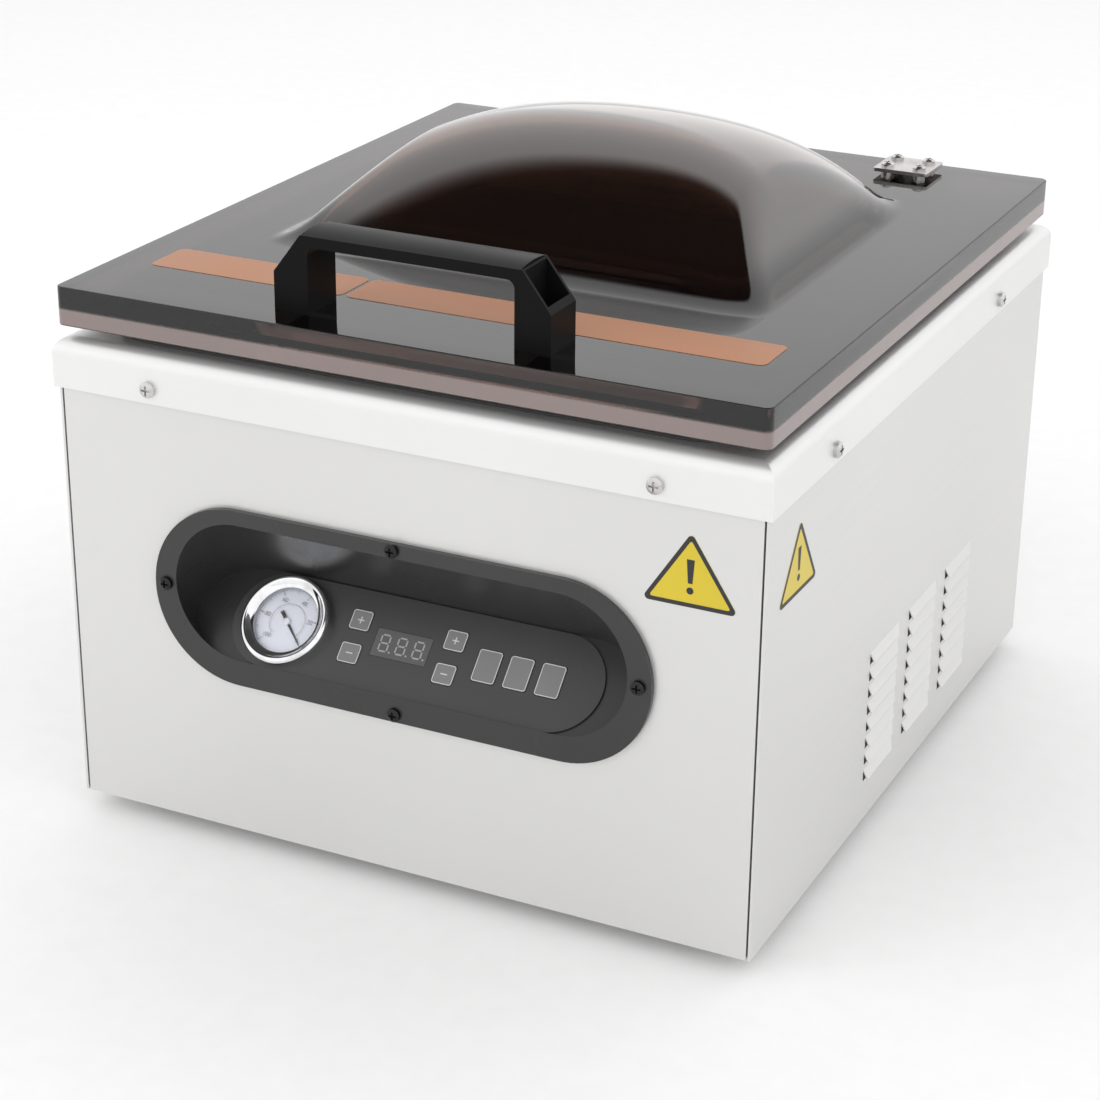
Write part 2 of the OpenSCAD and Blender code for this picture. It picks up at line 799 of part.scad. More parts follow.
module hinge_spacers() {
    color(bright) both_sides()
        for (p = hinge_bolts) translate([p.x, p.y, lid_top]) difference() {
            cylinder(h = spacer_h, r = 3.6);
            translate([0, 0, -1]) cylinder(h = spacer_h + 2, r = 2.05);
        }
}

module hinge_screws() {
    color(bright) both_sides()
        for (p = hinge_bolts)
            translate([p.x, p.y, lid_top + spacer_h + top_plate_t])
                pan_screw(3.6, 2, spacer_h + top_plate_t - 0.1);
}

// ---------- lid ----------

// Edges of the dome where its walls meet the plate
dome_half = 129.2;
dome_front = -90.6;
dome_back = 119.8;
dome_peak_y = -15.1;

// Smooth minimum and smooth floor, with blends k wide
function soft_min(a, b, k) = let (h = max(k - abs(a - b), 0) / k) min(a, b) - h * h * k / 4;
function soft_floor(h, w) = h < -w ? 0 : h > w ? h : pow(h + w, 2) / (4 * w);

// The crown falls away from its peak, steepening towards the ends
fall_across = 0.00124;
fall_ends = 7.45e-8;
fall_deep = 0.000747;
fall_edges = 4.37e-6;
front_slope = 0.73;
end_slope = 1.16;
back_slope = 1.7;
front_blend = 29.9;
corner_blend = 6;
shoulder_blend = 6;
foot_blend = 8;

function dome_crown(x, y) = dome_h - fall_across * x * x - fall_ends * pow(x, 4)
    - fall_deep * pow(y - dome_peak_y, 2) - fall_edges * pow(abs(y - dome_peak_y), 3);
function dome_rise(x, y) = soft_floor(
    soft_min(
        soft_min(dome_crown(x, y), front_slope * (y - dome_front), front_blend),
        soft_min(end_slope * (dome_half - abs(x)), back_slope * (dome_back - y), corner_blend),
        shoulder_blend),
    foot_blend);

// The plate thins to the dome's wall over the first part of the rise
thinning_rise = 18;
function lid_skin(h) =
    let (k = min(h / thinning_rise, 1))
    lid_t - (lid_t - dome_wall) * k * k * (3 - 2 * k);

// Grid lines packed closer round the dome's edges
function spread(n, a, b) = [for (i = [0 : n]) a + (b - a) * i / n];
lid_xs = concat([-lid_w / 2, -150], spread(14, -137, -88), spread(12, -80, 80),
    spread(14, 88, 137), [150, lid_w / 2]);
lid_ys = concat([lid_y - lid_d / 2, -118], spread(16, -102, -18), spread(9, -8, 82),
    spread(11, 88, 126), [140, lid_y + lid_d / 2]);
nx = len(lid_xs);
ny = len(lid_ys);

function lid_top_z(x, y) = lid_top + dome_rise(x, y);
function lid_under_z(x, y) = let (h = dome_rise(x, y)) lid_top + h - lid_skin(h);
function at(i, j) = j * nx + i;

module lid() {
    n = nx * ny;
    top = [for (y = lid_ys, x = lid_xs) [x, y, lid_top_z(x, y)]];
    under = [for (y = lid_ys, x = lid_xs) [x, y, lid_under_z(x, y)]];
    top_faces = [for (j = [0 : ny - 2], i = [0 : nx - 2], t = [0, 1])
        t == 0 ? [at(i, j), at(i, j + 1), at(i + 1, j + 1)] : [at(i, j), at(i + 1, j + 1), at(i + 1, j)]];
    under_faces = [for (f = top_faces) [f[2] + n, f[1] + n, f[0] + n]];
    rim = concat([for (i = [0 : nx - 2]) at(i, 0)], [for (j = [0 : ny - 2]) at(nx - 1, j)],
        [for (i = [nx - 1 : -1 : 1]) at(i, ny - 1)], [for (j = [ny - 1 : -1 : 1]) at(0, j)]);
    m = len(rim);
    walls = [for (k = [0 : m - 1], t = [0, 1]) let (a = rim[k], b = rim[(k + 1) % m])
        t == 0 ? [a, b, b + n] : [a, b + n, a + n]];
    color(acrylic) polyhedron(concat(top, under), concat(top_faces, under_faces, walls));
}

handle_foot = lid_top;
handle_top = handle_foot + handle_h;
chamfer_x = 14.5;
chamfer_h = 19;
pocket_floor = handle_foot + 13;
handle_screw_x = handle_half - 8.2;

module handle_outline() {
    difference() {
        polygon([[-handle_half, handle_foot], [handle_half, handle_foot],
            [handle_half, handle_top - chamfer_h], [handle_half - chamfer_x, handle_top],
            [-handle_half + chamfer_x, handle_top], [-handle_half, handle_top - chamfer_h]]);
        translate([0, handle_foot + 10]) rounded(2 * (handle_half - handle_leg), 45.2, 4);
    }
}

module lid_handle() {
    mid = handle_y + handle_d / 2;
    crown_half = handle_half - chamfer_x - 0.5;
    crown_r = 60;
    color(black) difference() {
        union() {
            facing_front(handle_y + handle_d) linear_extrude(handle_d) handle_outline();
            intersection() {
                facing_front(handle_y + handle_d) linear_extrude(handle_d)
                    translate([-crown_half, handle_top - 4]) square([2 * crown_half, 10]);
                translate([-handle_half, mid, handle_top + 1.4 - crown_r]) rotate([0, 90, 0])
                    cylinder(h = 2 * handle_half, r = crown_r, $fn = 128);
            }
        }
        for (s = [-1, 1]) {
            translate([s * handle_screw_x - 5.8, handle_y + 1.8, pocket_floor])
                cube([11.6, handle_d - 3.6, 40]);
            translate([s * handle_screw_x, mid, handle_foot - 1]) cylinder(h = 20, r = 2.6);
        }
    }
}

module handle_screws() {
    color(bright)
        for (s = [-1, 1])
            translate([s * handle_screw_x, handle_y + handle_d / 2, pocket_floor])
                pan_screw(4.6, 2.5, pocket_floor - handle_foot - 0.1);
}

label_front = -157.5;
label_d = 30;
label_t = 0.2;
label_ends = [[-163, -55], [-53, 161]];   // left and right edge of each label

module lid_labels() {
    color([0.75, 0.53, 0.37])
        for (e = label_ends)
            translate([(e[0] + e[1]) / 2, label_front + label_d / 2, lid_top])
                linear_extrude(label_t) rounded(e[1] - e[0], label_d, 4);
}

module counter_bar_holder() {
    color([0.75, 0.75, 0.77]) difference() {
        translate([-bar_half - 2, bar_y - 8, lid_bottom - 6.5]) cube([2 * bar_half + 4, 16, 6.5]);
        translate([-bar_half - 3, bar_y - 5, lid_bottom - 7]) cube([2 * bar_half + 6, 10, 5.5]);
    }
}

module counter_bar() {
    color([0.6, 0.2, 0.15])
        translate([-bar_half - 2, bar_y - 5, lid_bottom - 11.5]) cube([2 * bar_half + 4, 10, 10]);
}

base_pan();
corner_posts();
front_panel();
side_panel_right();
side_panel_left();
rear_panel();
chamber_deck();
deck_screws();
rubber_feet();
foot_screws();
chamber_tub();
chamber_gasket();
control_bezel();
bezel_screws();
membrane_panel();
display_window();
display_digits();
key_vac_plus();
key_vac_minus();
key_seal_plus();
key_seal_minus();
key_start();
key_seal();
key_power();
gauge_case();
gauge_ring();
gauge_dial();
gauge_needle();
gauge_lens();
control_board();
seal_bar();
heating_element();
ptfe_cover();
seal_bar_rods();
lift_cylinders();
vacuum_pump();
pump_motor();
pump_mounts();
fan_frame();
fan_rotor();
transformer();
solenoid_valves();
vacuum_hoses();
mains_inlet();
inlet_pins();
safety_stickers();
hinge_brackets();
hinge_pins();
bracket_screws();
lid();
lid_handle();
handle_screws();
lid_labels();
hinge_plates();
hinge_spacers();
hinge_screws();
hinge_leaves();
counter_bar_holder();
counter_bar();
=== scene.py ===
"""Looks for the vacuum chamber sealer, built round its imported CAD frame. Metres, +Z up, front faces -Y."""

import json
import math

import bmesh
import bpy
from mathutils import Matrix, Vector


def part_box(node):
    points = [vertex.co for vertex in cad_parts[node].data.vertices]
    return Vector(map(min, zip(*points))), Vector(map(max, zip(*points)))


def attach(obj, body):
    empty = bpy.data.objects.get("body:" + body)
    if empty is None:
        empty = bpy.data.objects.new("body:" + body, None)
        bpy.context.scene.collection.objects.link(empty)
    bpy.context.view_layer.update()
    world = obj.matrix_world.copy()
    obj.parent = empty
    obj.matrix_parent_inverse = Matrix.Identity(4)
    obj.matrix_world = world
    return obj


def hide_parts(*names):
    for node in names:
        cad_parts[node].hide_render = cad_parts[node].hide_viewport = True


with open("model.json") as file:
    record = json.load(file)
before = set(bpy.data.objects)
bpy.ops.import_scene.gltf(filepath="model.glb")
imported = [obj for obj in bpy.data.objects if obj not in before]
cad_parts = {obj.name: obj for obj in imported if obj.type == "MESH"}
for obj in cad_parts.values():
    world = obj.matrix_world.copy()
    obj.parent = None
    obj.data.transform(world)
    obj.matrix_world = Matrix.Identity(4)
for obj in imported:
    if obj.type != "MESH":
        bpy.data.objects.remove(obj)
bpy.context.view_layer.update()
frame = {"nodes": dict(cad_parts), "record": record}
RECORD = frame["record"]
NODES = frame["nodes"]
SLOT = {row["node"]: row["material_slot"] for row in RECORD["subparts"]}
MM = 0.001

# ---------------------------------------------------------------- places


def middle(node):
    """Middle of a CAD node's box."""
    lo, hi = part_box(node)
    return (lo + hi) / 2


TILT = math.radians(45)        # of the control panel
UP_SLOPE = Vector((0, math.cos(TILT), math.sin(TILT)))
OUT = Vector((0, -math.sin(TILT), math.cos(TILT)))
PLATE_T = 1.2 * MM             # membrane plate
DECK_OVERHANG = 2 * MM         # how far the deck's lip stands out past the side panels
PANEL = middle("membrane_panel") + OUT * (PLATE_T / 2)
GAUGE_X = middle("gauge_ring").x
FRONT_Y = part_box("front_panel")[0].y
SIDE_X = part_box("chamber_deck")[1].x - DECK_OVERHANG
LID_LOW, LID_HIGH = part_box("lid")


def on_panel(x, y, z):
    """A point in the tilted panel's own frame: x right, y up the slope, z out of the face."""
    return PANEL + Vector((x, 0, 0)) + UP_SLOPE * y + OUT * z


def on_front(x, y, z):
    """A point on the front panel: x right, y up, z out of the face."""
    return Vector((x, FRONT_Y - z, y))


def on_side(x, y, z):
    """A point on the right-hand panel: x towards the back, y up, z out of the face."""
    return Vector((SIDE_X + z, x, y))


# ---------------------------------------------------------------- shader helpers

LOW_NOISE, HIGH_NOISE = 0.3, 0.7       # most of a noise texture lies between these
WEAR_SCALE = 14


class Shader:
    """One Principled material with procedural inputs."""

    def __init__(self, name, **values):
        self.material = bpy.data.materials.new(name)
        self.material.use_nodes = True
        self.tree = self.material.node_tree
        self.bsdf = self.tree.nodes["Principled BSDF"]
        for key, value in values.items():
            socket = self.bsdf.inputs[key.replace("_", " ").title().replace("Ior", "IOR")]
            socket.default_value = (*value, 1.0) if isinstance(value, tuple) else value

    def node(self, kind, **inputs):
        """A new node whose inputs are linked to sockets or set to values."""
        made = self.tree.nodes.new(kind)
        for key, value in inputs.items():
            socket = made.inputs[key]
            if isinstance(value, bpy.types.NodeSocket):
                self.tree.links.new(value, socket)
            else:
                socket.default_value = value
        return made

    def place(self, stretch=(1, 1, 1)):
        """Position in the piece's own frame, scaled along each axis."""
        where = self.node("ShaderNodeTexCoord").outputs["Object"]
        return self.node("ShaderNodeMapping", Vector=where, Scale=stretch).outputs["Vector"]

    def noise(self, scale, detail=4.0, stretch=(1, 1, 1), roughness=0.55):
        """Noise through the solid, finer as the scale rises."""
        made = self.node("ShaderNodeTexNoise", Vector=self.place(stretch), Scale=scale,
                         Detail=detail, Roughness=roughness)
        return made.outputs["Fac"]

    def spread(self, fac, low, high, start=LOW_NOISE, end=HIGH_NOISE):
        """Maps a factor that runs from start to end onto low to high."""
        made = self.node("ShaderNodeMapRange", Value=fac)
        for key, value in (("From Min", start), ("From Max", end), ("To Min", low), ("To Max", high)):
            made.inputs[key].default_value = value
        return made.outputs["Result"]

    def tones(self, fac, *colors):
        """Colours spread evenly over a noise factor."""
        made = self.node("ShaderNodeValToRGB", Fac=fac)
        ramp = made.color_ramp
        ramp.elements[0].position, ramp.elements[1].position = LOW_NOISE, HIGH_NOISE
        for i in range(1, len(colors) - 1):
            ramp.elements.new(LOW_NOISE + (HIGH_NOISE - LOW_NOISE) * i / (len(colors) - 1))
        for element, color in zip(ramp.elements, colors):
            element.color = (*color, 1.0)
        return made.outputs["Color"]

    def attribute(self, name):
        """A value stored on the mesh."""
        made = self.node("ShaderNodeAttribute")
        made.attribute_name = name
        return made.outputs["Fac"]

    def mix(self, fac, first, second):
        """The first colour where the factor is 0, and the second where it is 1."""
        made = self.tree.nodes.new("ShaderNodeMix")
        made.data_type = "RGBA"
        for source, target in ((fac, "Factor_Float"), (first, "A_Color"), (second, "B_Color")):
            self.tree.links.new(source, next(i for i in made.inputs if i.identifier == target))
        return next(o for o in made.outputs if o.identifier == "Result_Color")

    def color(self, fac, *colors):
        """Gives the surface its colours."""
        self.tree.links.new(self.tones(fac, *colors), self.bsdf.inputs["Base Color"])
        return self

    def rough(self, fac, low, high):
        """Gives the surface a roughness that varies from low to high."""
        self.tree.links.new(self.spread(fac, low, high), self.bsdf.inputs["Roughness"])
        return self

    def bump(self, height, strength, distance):
        """Gives the surface a relief."""
        made = self.node("ShaderNodeBump", Height=height, Strength=strength, Distance=distance)
        self.tree.links.new(made.outputs["Normal"], self.bsdf.inputs["Normal"])
        return self


def shade(color, factor):
    """A darker or lighter version of a colour."""
    return tuple(min(1.0, c * factor) for c in color)


def satin_steel(name, stretch, tone=(0.672, 0.668, 0.66)):
    """Brushed stainless sheet: fine streaks, faint handling marks and a slow drift of tone."""
    s = Shader(name, metallic=0.6, roughness=0.36)
    streaks = s.noise(1.0, 3, stretch, 0.5)
    drift = s.noise(4, 2)
    s.color(drift, shade(tone, 0.975), tone, shade(tone, 1.02))
    return s.rough(streaks, 0.32, 0.42).bump(streaks, 0.05, 0.00002).material


def plated_steel(name, tone=(0.62, 0.61, 0.60), low=0.18, high=0.34):
    """Bare or plated metal with handling marks."""
    s = Shader(name, metallic=1.0, roughness=0.25)
    fine, marks = s.noise(900, 4), s.noise(90, 5)
    s.color(marks, shade(tone, 0.82), tone, shade(tone, 1.1))
    return s.rough(fine, low, high).bump(fine, 0.08, 0.00005).material


def moulded(name, tone, low, high, grain=1400, strength=0.12, **more):
    """Moulded or painted surface with a fine grain and slight wear in its gloss."""
    s = Shader(name, roughness=(low + high) / 2, **more)
    fine, wear = s.noise(grain, 2), s.noise(WEAR_SCALE, 2, roughness=0.4)
    s.color(wear, shade(tone, 0.93), tone, shade(tone, 1.07))
    return s.rough(wear, low, high).bump(fine, strength, 0.00006).material


def smoked_acrylic():
    """Polished sheet with faint swirls left by wiping.

    The thin dome lets through more of its brown tint and mirrors more. The lower half of the
    sheet's edge has a painted glow: a pale colour and less transmission, standing in for the light
    that has a short way through the edge from the underside.
    """
    s = Shader("smoked_acrylic", roughness=0.02, ior=1.55, transmission_weight=1.0,
               coat_weight=0.1, coat_roughness=0.02, coat_ior=1.7)
    wipes = s.noise(3, 6, (1, 2.4, 1))
    dome = s.tones(wipes, (0.085, 0.037, 0.021), (0.10, 0.044, 0.025), (0.11, 0.05, 0.029))
    plate = s.tones(wipes, (0.022, 0.014, 0.013), (0.026, 0.017, 0.016), (0.03, 0.02, 0.019))
    # Painted glow: pale colour that stands in for light passing through the lower half of the sheet's edge
    painted_glow = s.tones(wipes, (0.22, 0.173, 0.165), (0.26, 0.208, 0.198))
    thin, edge = s.attribute("thin"), s.attribute("edge")
    height = s.node("ShaderNodeSeparateXYZ", Vector=s.place()).outputs["Z"]
    low = s.spread(height, 1, 0, LID_LOW.z + 8 * MM, LID_LOW.z + 9.5 * MM)
    # Where the painted glow goes: the rim's side faces, in their lower part
    painted_glow_mask = s.node("ShaderNodeMath")
    painted_glow_mask.operation = "MULTIPLY"
    for value, socket in zip((low, edge), painted_glow_mask.inputs):
        s.tree.links.new(value, socket)
    tint = s.mix(painted_glow_mask.outputs["Value"], s.mix(thin, plate, dome), painted_glow)
    s.tree.links.new(tint, s.bsdf.inputs["Base Color"])
    # Less transmission where the glow is painted
    s.tree.links.new(s.spread(painted_glow_mask.outputs["Value"], 1, 0.1, 0, 1), s.bsdf.inputs["Transmission Weight"])
    s.tree.links.new(s.spread(thin, 0, 0.6, 0, 1), s.bsdf.inputs["Coat Weight"])
    return s.rough(wipes, 0.008, 0.03).material


def cast_metal(name, tone):
    """Painted casting with a sandy skin."""
    s = Shader(name, metallic=0.25, roughness=0.5)
    sand, patches = s.noise(520, 6), s.noise(22, 4)
    s.color(patches, shade(tone, 0.75), tone, shade(tone, 1.2))
    return s.rough(patches, 0.42, 0.62).bump(sand, 0.3, 0.0003).material


def woven(name, tone):
    """Coated glass cloth, whose threads show as fine ridges."""
    s = Shader(name, roughness=0.4)
    threads = s.node("ShaderNodeTexWave", Vector=s.place(), Scale=420.0, Distortion=1.5).outputs["Fac"]
    s.color(s.noise(60, 4), shade(tone, 0.8), tone, shade(tone, 1.15))
    return s.bump(threads, 0.25, 0.0001).rough(threads, 0.32, 0.48).material


def clear_lens():
    """Clear window, mostly see-through so that light reaches the dial behind it."""
    s = Shader("clear", roughness=0.01, ior=1.5, transmission_weight=1.0, alpha=0.3)
    s.color(s.noise(30, 3), (0.97, 0.98, 1.0), (1, 1, 1))
    return s.rough(s.noise(60, 3), 0.004, 0.02).material


# Stretch of the brushing: long along a sheet's grain, fine across it
LEVEL_GRAIN = (6, 6, 1500)
DECK_GRAIN = (6, 1500, 1500)

MATERIALS = {
    "stainless": satin_steel("stainless", LEVEL_GRAIN),
    "bright_steel": plated_steel("bright_steel"),
    "black_screw": plated_steel("black_screw", (0.035, 0.035, 0.035), 0.25, 0.45),
    "rubber": moulded("rubber", (0.022, 0.022, 0.022), 0.7, 0.9, 700, 0.25),
    "gasket_rubber": moulded("gasket_rubber", (0.05, 0.048, 0.048), 0.45, 0.65, 900, 0.15),
    "bezel_plastic": moulded("bezel_plastic", (0.026, 0.026, 0.026), 0.24, 0.36),
    "membrane": moulded("membrane", (0.043, 0.043, 0.044), 0.32, 0.42, 2200, 0.05),
    "display": moulded("display", (0.08, 0.08, 0.08), 0.2, 0.3, 2000, 0.03),
    "display_figure": moulded("display_figure", (0.33, 0.33, 0.33), 0.3, 0.4, 2000, 0.03),
    "key": moulded("key", (0.19, 0.19, 0.19), 0.4, 0.5, 2400, 0.08),
    "black_plastic": moulded("black_plastic", (0.02, 0.02, 0.02), 0.4, 0.6),
    "chrome": plated_steel("chrome", (0.82, 0.82, 0.83), 0.04, 0.1),
    "dial": moulded("dial", (0.78, 0.80, 0.88), 0.35, 0.45, 2600, 0.04),
    "needle": moulded("needle", (0.015, 0.015, 0.018), 0.3, 0.45),
    "clear": clear_lens(),
    "circuit": moulded("circuit", (0.02, 0.14, 0.05), 0.3, 0.5, 500, 0.3),
    "aluminium": plated_steel("aluminium", (0.72, 0.72, 0.73), 0.28, 0.42),
    "element": plated_steel("element", (0.42, 0.38, 0.32), 0.3, 0.5),
    "ptfe": woven("ptfe", (0.30, 0.17, 0.08)),
    "pump_metal": cast_metal("pump_metal", (0.12, 0.125, 0.14)),
    "transformer_iron": cast_metal("transformer_iron", (0.10, 0.075, 0.055)),
    "valve": moulded("valve", (0.03, 0.05, 0.065), 0.4, 0.6),
    "hose": moulded("hose", (0.35, 0.05, 0.03), 0.35, 0.5, 300, 0.2),
    "sticker": moulded("sticker", (0.57, 0.44, 0.022), 0.22, 0.34, 1800, 0.04),
    "smoked_acrylic": smoked_acrylic(),
    "handle_plastic": moulded("handle_plastic", (0.006, 0.006, 0.0065), 0.3, 0.42,
                              specular_ior_level=0.07),
    "label": moulded("label", (0.37, 0.145, 0.058), 0.34, 0.46, 1500, 0.05),
    "silicone": moulded("silicone", (0.30, 0.045, 0.03), 0.45, 0.6, 800, 0.12),
}
# The deck's sheet: the panels' satin steel with its grain turned, and a lighter tone that is painted light
# for the deck's bright lip
LIT_DECK_STEEL = satin_steel("lit_deck_steel", DECK_GRAIN, (0.77, 0.77, 0.765))
# Painted shade: near-black steel for the corner posts, so the narrow gaps between the panels look shaded
PAINTED_SHADE_STEEL = plated_steel("painted_shade_steel", (0.07, 0.07, 0.07), 0.5, 0.7)
HINGE_STEEL = plated_steel("hinge_steel", (0.60, 0.575, 0.56), 0.3, 0.42)
PRINT = moulded("print", (0.018, 0.018, 0.02), 0.4, 0.5, 2500, 0.03)
PALE_PRINT = moulded("pale_print", (0.56, 0.56, 0.56), 0.35, 0.5, 2500, 0.03)


# ---------------------------------------------------------------- mesh helpers

FLAT_ANGLE = math.radians(0.6)     # faces that meet under this angle are one flat face
EDGE_ANGLE = math.radians(32)      # edges sharper than this are broken
SMOOTH_ANGLE = math.radians(50)    # edges sharper than this stay crisp in the shading


def piece(name, mesh_data, material, body, slot, *replaced):
    """Adds a finished mesh as a piece that rides on a body, standing for the replaced nodes."""
    obj = bpy.data.objects.new(name, mesh_data)
    bpy.context.scene.collection.objects.link(obj)
    obj.data.materials.clear()
    obj.data.materials.append(material)
    for polygon in obj.data.polygons:
        polygon.use_smooth = True
    obj.data.set_sharp_from_angle(angle=SMOOTH_ANGLE)
    flats = obj.modifiers.new("flat_faces_stay_flat", "WEIGHTED_NORMAL")
    flats.keep_sharp = True
    flats.weight = 100
    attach(obj, body)
    if replaced:
        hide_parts(*replaced)
    return obj


def softened(node, body, width, segments=2):
    """A copy of a CAD node with its sharp edges broken, which stands for the node."""
    bm = bmesh.new()
    bm.from_mesh(NODES[node].data)
    bmesh.ops.remove_doubles(bm, verts=bm.verts, dist=1e-6)
    bmesh.ops.dissolve_limit(bm, angle_limit=FLAT_ANGLE, verts=bm.verts, edges=bm.edges)
    sharp = [e for e in bm.edges if len(e.link_faces) == 2 and e.calc_face_angle(0) > EDGE_ANGLE]
    bmesh.ops.bevel(bm, geom=sharp, offset=width, segments=segments, profile=0.6,
                    affect="EDGES", clamp_overlap=True)
    made = bpy.data.meshes.new(node + "_skin")
    bm.to_mesh(made)
    bm.free()
    return piece(node + "_skin", made, MATERIALS[SLOT[node]], body, SLOT[node], node)


def prism(outline, low, high, place):
    """A closed solid on a plane: an outline pushed from low to high along the plane's normal."""
    bm = bmesh.new()
    bottom = [bm.verts.new(place(x, y, low)) for x, y in outline]
    top = [bm.verts.new(place(x, y, high)) for x, y in outline]
    n = len(outline)
    bm.faces.new(top)
    bm.faces.new(bottom[::-1])
    for i in range(n):
        bm.faces.new((bottom[i], bottom[(i + 1) % n], top[(i + 1) % n], top[i]))
    return bm


def band(outer, inner, low, high, place):
    """A closed ring between two outlines that have the same number of points."""
    bm = bmesh.new()
    rows = [[bm.verts.new(place(x, y, z)) for x, y in o]
            for o, z in ((outer, low), (outer, high), (inner, high), (inner, low))]
    n = len(outer)
    for a, b in zip(rows, rows[1:] + rows[:1]):
        for i in range(n):
            bm.faces.new((a[i], a[(i + 1) % n], b[(i + 1) % n], b[i]))
    return bm


def joined(name, parts):
    """One mesh from several bmesh parts, with its faces turned outwards."""
    whole = bmesh.new()
    for bm in parts:
        part = bpy.data.meshes.new("part")
        bm.to_mesh(part)
        bm.free()
        whole.from_mesh(part)
        bpy.data.meshes.remove(part)
    bmesh.ops.recalc_face_normals(whole, faces=whole.faces)
    made = bpy.data.meshes.new(name)
    whole.to_mesh(made)
    whole.free()
    return made


def box_outline(cx, cy, w, h, r, steps=6):
    """Rounded rectangle, anticlockwise."""
    points = []
    for k, (sx, sy) in enumerate(((1, 1), (-1, 1), (-1, -1), (1, -1))):
        for i in range(steps + 1):
            a = math.radians(90 * k + 90 * i / steps)
            points.append((cx + sx * (w / 2 - r) + r * math.cos(a), cy + sy * (h / 2 - r) + r * math.sin(a)))
    return points


def circle_outline(cx, cy, r, steps=48):
    """Circle, anticlockwise."""
    return [(cx + r * math.cos(2 * math.pi * i / steps), cy + r * math.sin(2 * math.pi * i / steps))
            for i in range(steps)]


def bar_outline(cx, cy, angle, start, end, width):
    """A straight stroke that runs outwards from a centre, between two radii."""
    d = Vector((math.cos(angle), math.sin(angle)))
    s = Vector((-d.y, d.x)) * width / 2
    c = Vector((cx, cy))
    return [tuple(c + d * r + s * side) for r, side in ((start, -1), (end, -1), (end, 1), (start, 1))]


# ---------------------------------------------------------------- lid

DOME_H, DOME_PEAK_Y = 56.4, -15.1
DOME_HALF, DOME_FRONT, DOME_BACK = 129.2, -90.6, 119.8
FALL_ACROSS, FALL_ENDS, FALL_DEEP, FALL_EDGES = 0.00124, 7.45e-8, 0.000747, 4.37e-6
FRONT_SLOPE, END_SLOPE, BACK_SLOPE = 0.73, 1.16, 1.7
FRONT_BLEND, CORNER_BLEND, SHOULDER_BLEND, FOOT_BLEND = 29.9, 6, 6, 8
LID_T, DOME_WALL, THINNING_RISE = 19.6, 8, 18
LID_TOP = LID_LOW.z + LID_T * MM
GRID = 1.6                         # spacing of the fine mesh over the dome and its foot
DOME_ZONE_X, DOME_ZONE_Y = (-144, 144), (-106, 130)
RIM_STRIP, FRONT_ROW = 12, -140    # plain strip round the rim, and one row on the plate's front
CORNER_R, EDGE_R = 4 * MM, 0.7 * MM
RIM_ANGLE = math.radians(60)       # only the rim's own edges are sharper than this


def soft_min(a, b, k):
    """The smaller of two heights, blended where they come within k of each other."""
    h = max(k - abs(a - b), 0) / k
    return min(a, b) - h * h * k / 4


def dome_rise(x, y):
    """Height of the dome above the plate, in millimetres, as in the part's source."""
    back = abs(y - DOME_PEAK_Y)
    crown = (DOME_H - FALL_ACROSS * x ** 2 - FALL_ENDS * x ** 4
             - FALL_DEEP * back ** 2 - FALL_EDGES * back ** 3)
    front = soft_min(crown, FRONT_SLOPE * (y - DOME_FRONT), FRONT_BLEND)
    ends = soft_min(END_SLOPE * (DOME_HALF - abs(x)), BACK_SLOPE * (DOME_BACK - y), CORNER_BLEND)
    h = soft_min(front, ends, SHOULDER_BLEND)
    if h < -FOOT_BLEND:
        return 0.0
    return h if h > FOOT_BLEND else (h + FOOT_BLEND) ** 2 / (4 * FOOT_BLEND)


def lid_skin(h):
    """Thickness of the sheet where its top has risen by h: it thins as it is blown into the dome."""
    k = min(h / THINNING_RISE, 1)
    return LID_T - (LID_T - DOME_WALL) * k * k * (3 - 2 * k)


def steps_between(a, b, pitch):
    """Evenly spaced values from a to b, about one pitch apart."""
    n = max(1, round((b - a) / pitch))
    return [a + (b - a) * i / n for i in range(n + 1)]


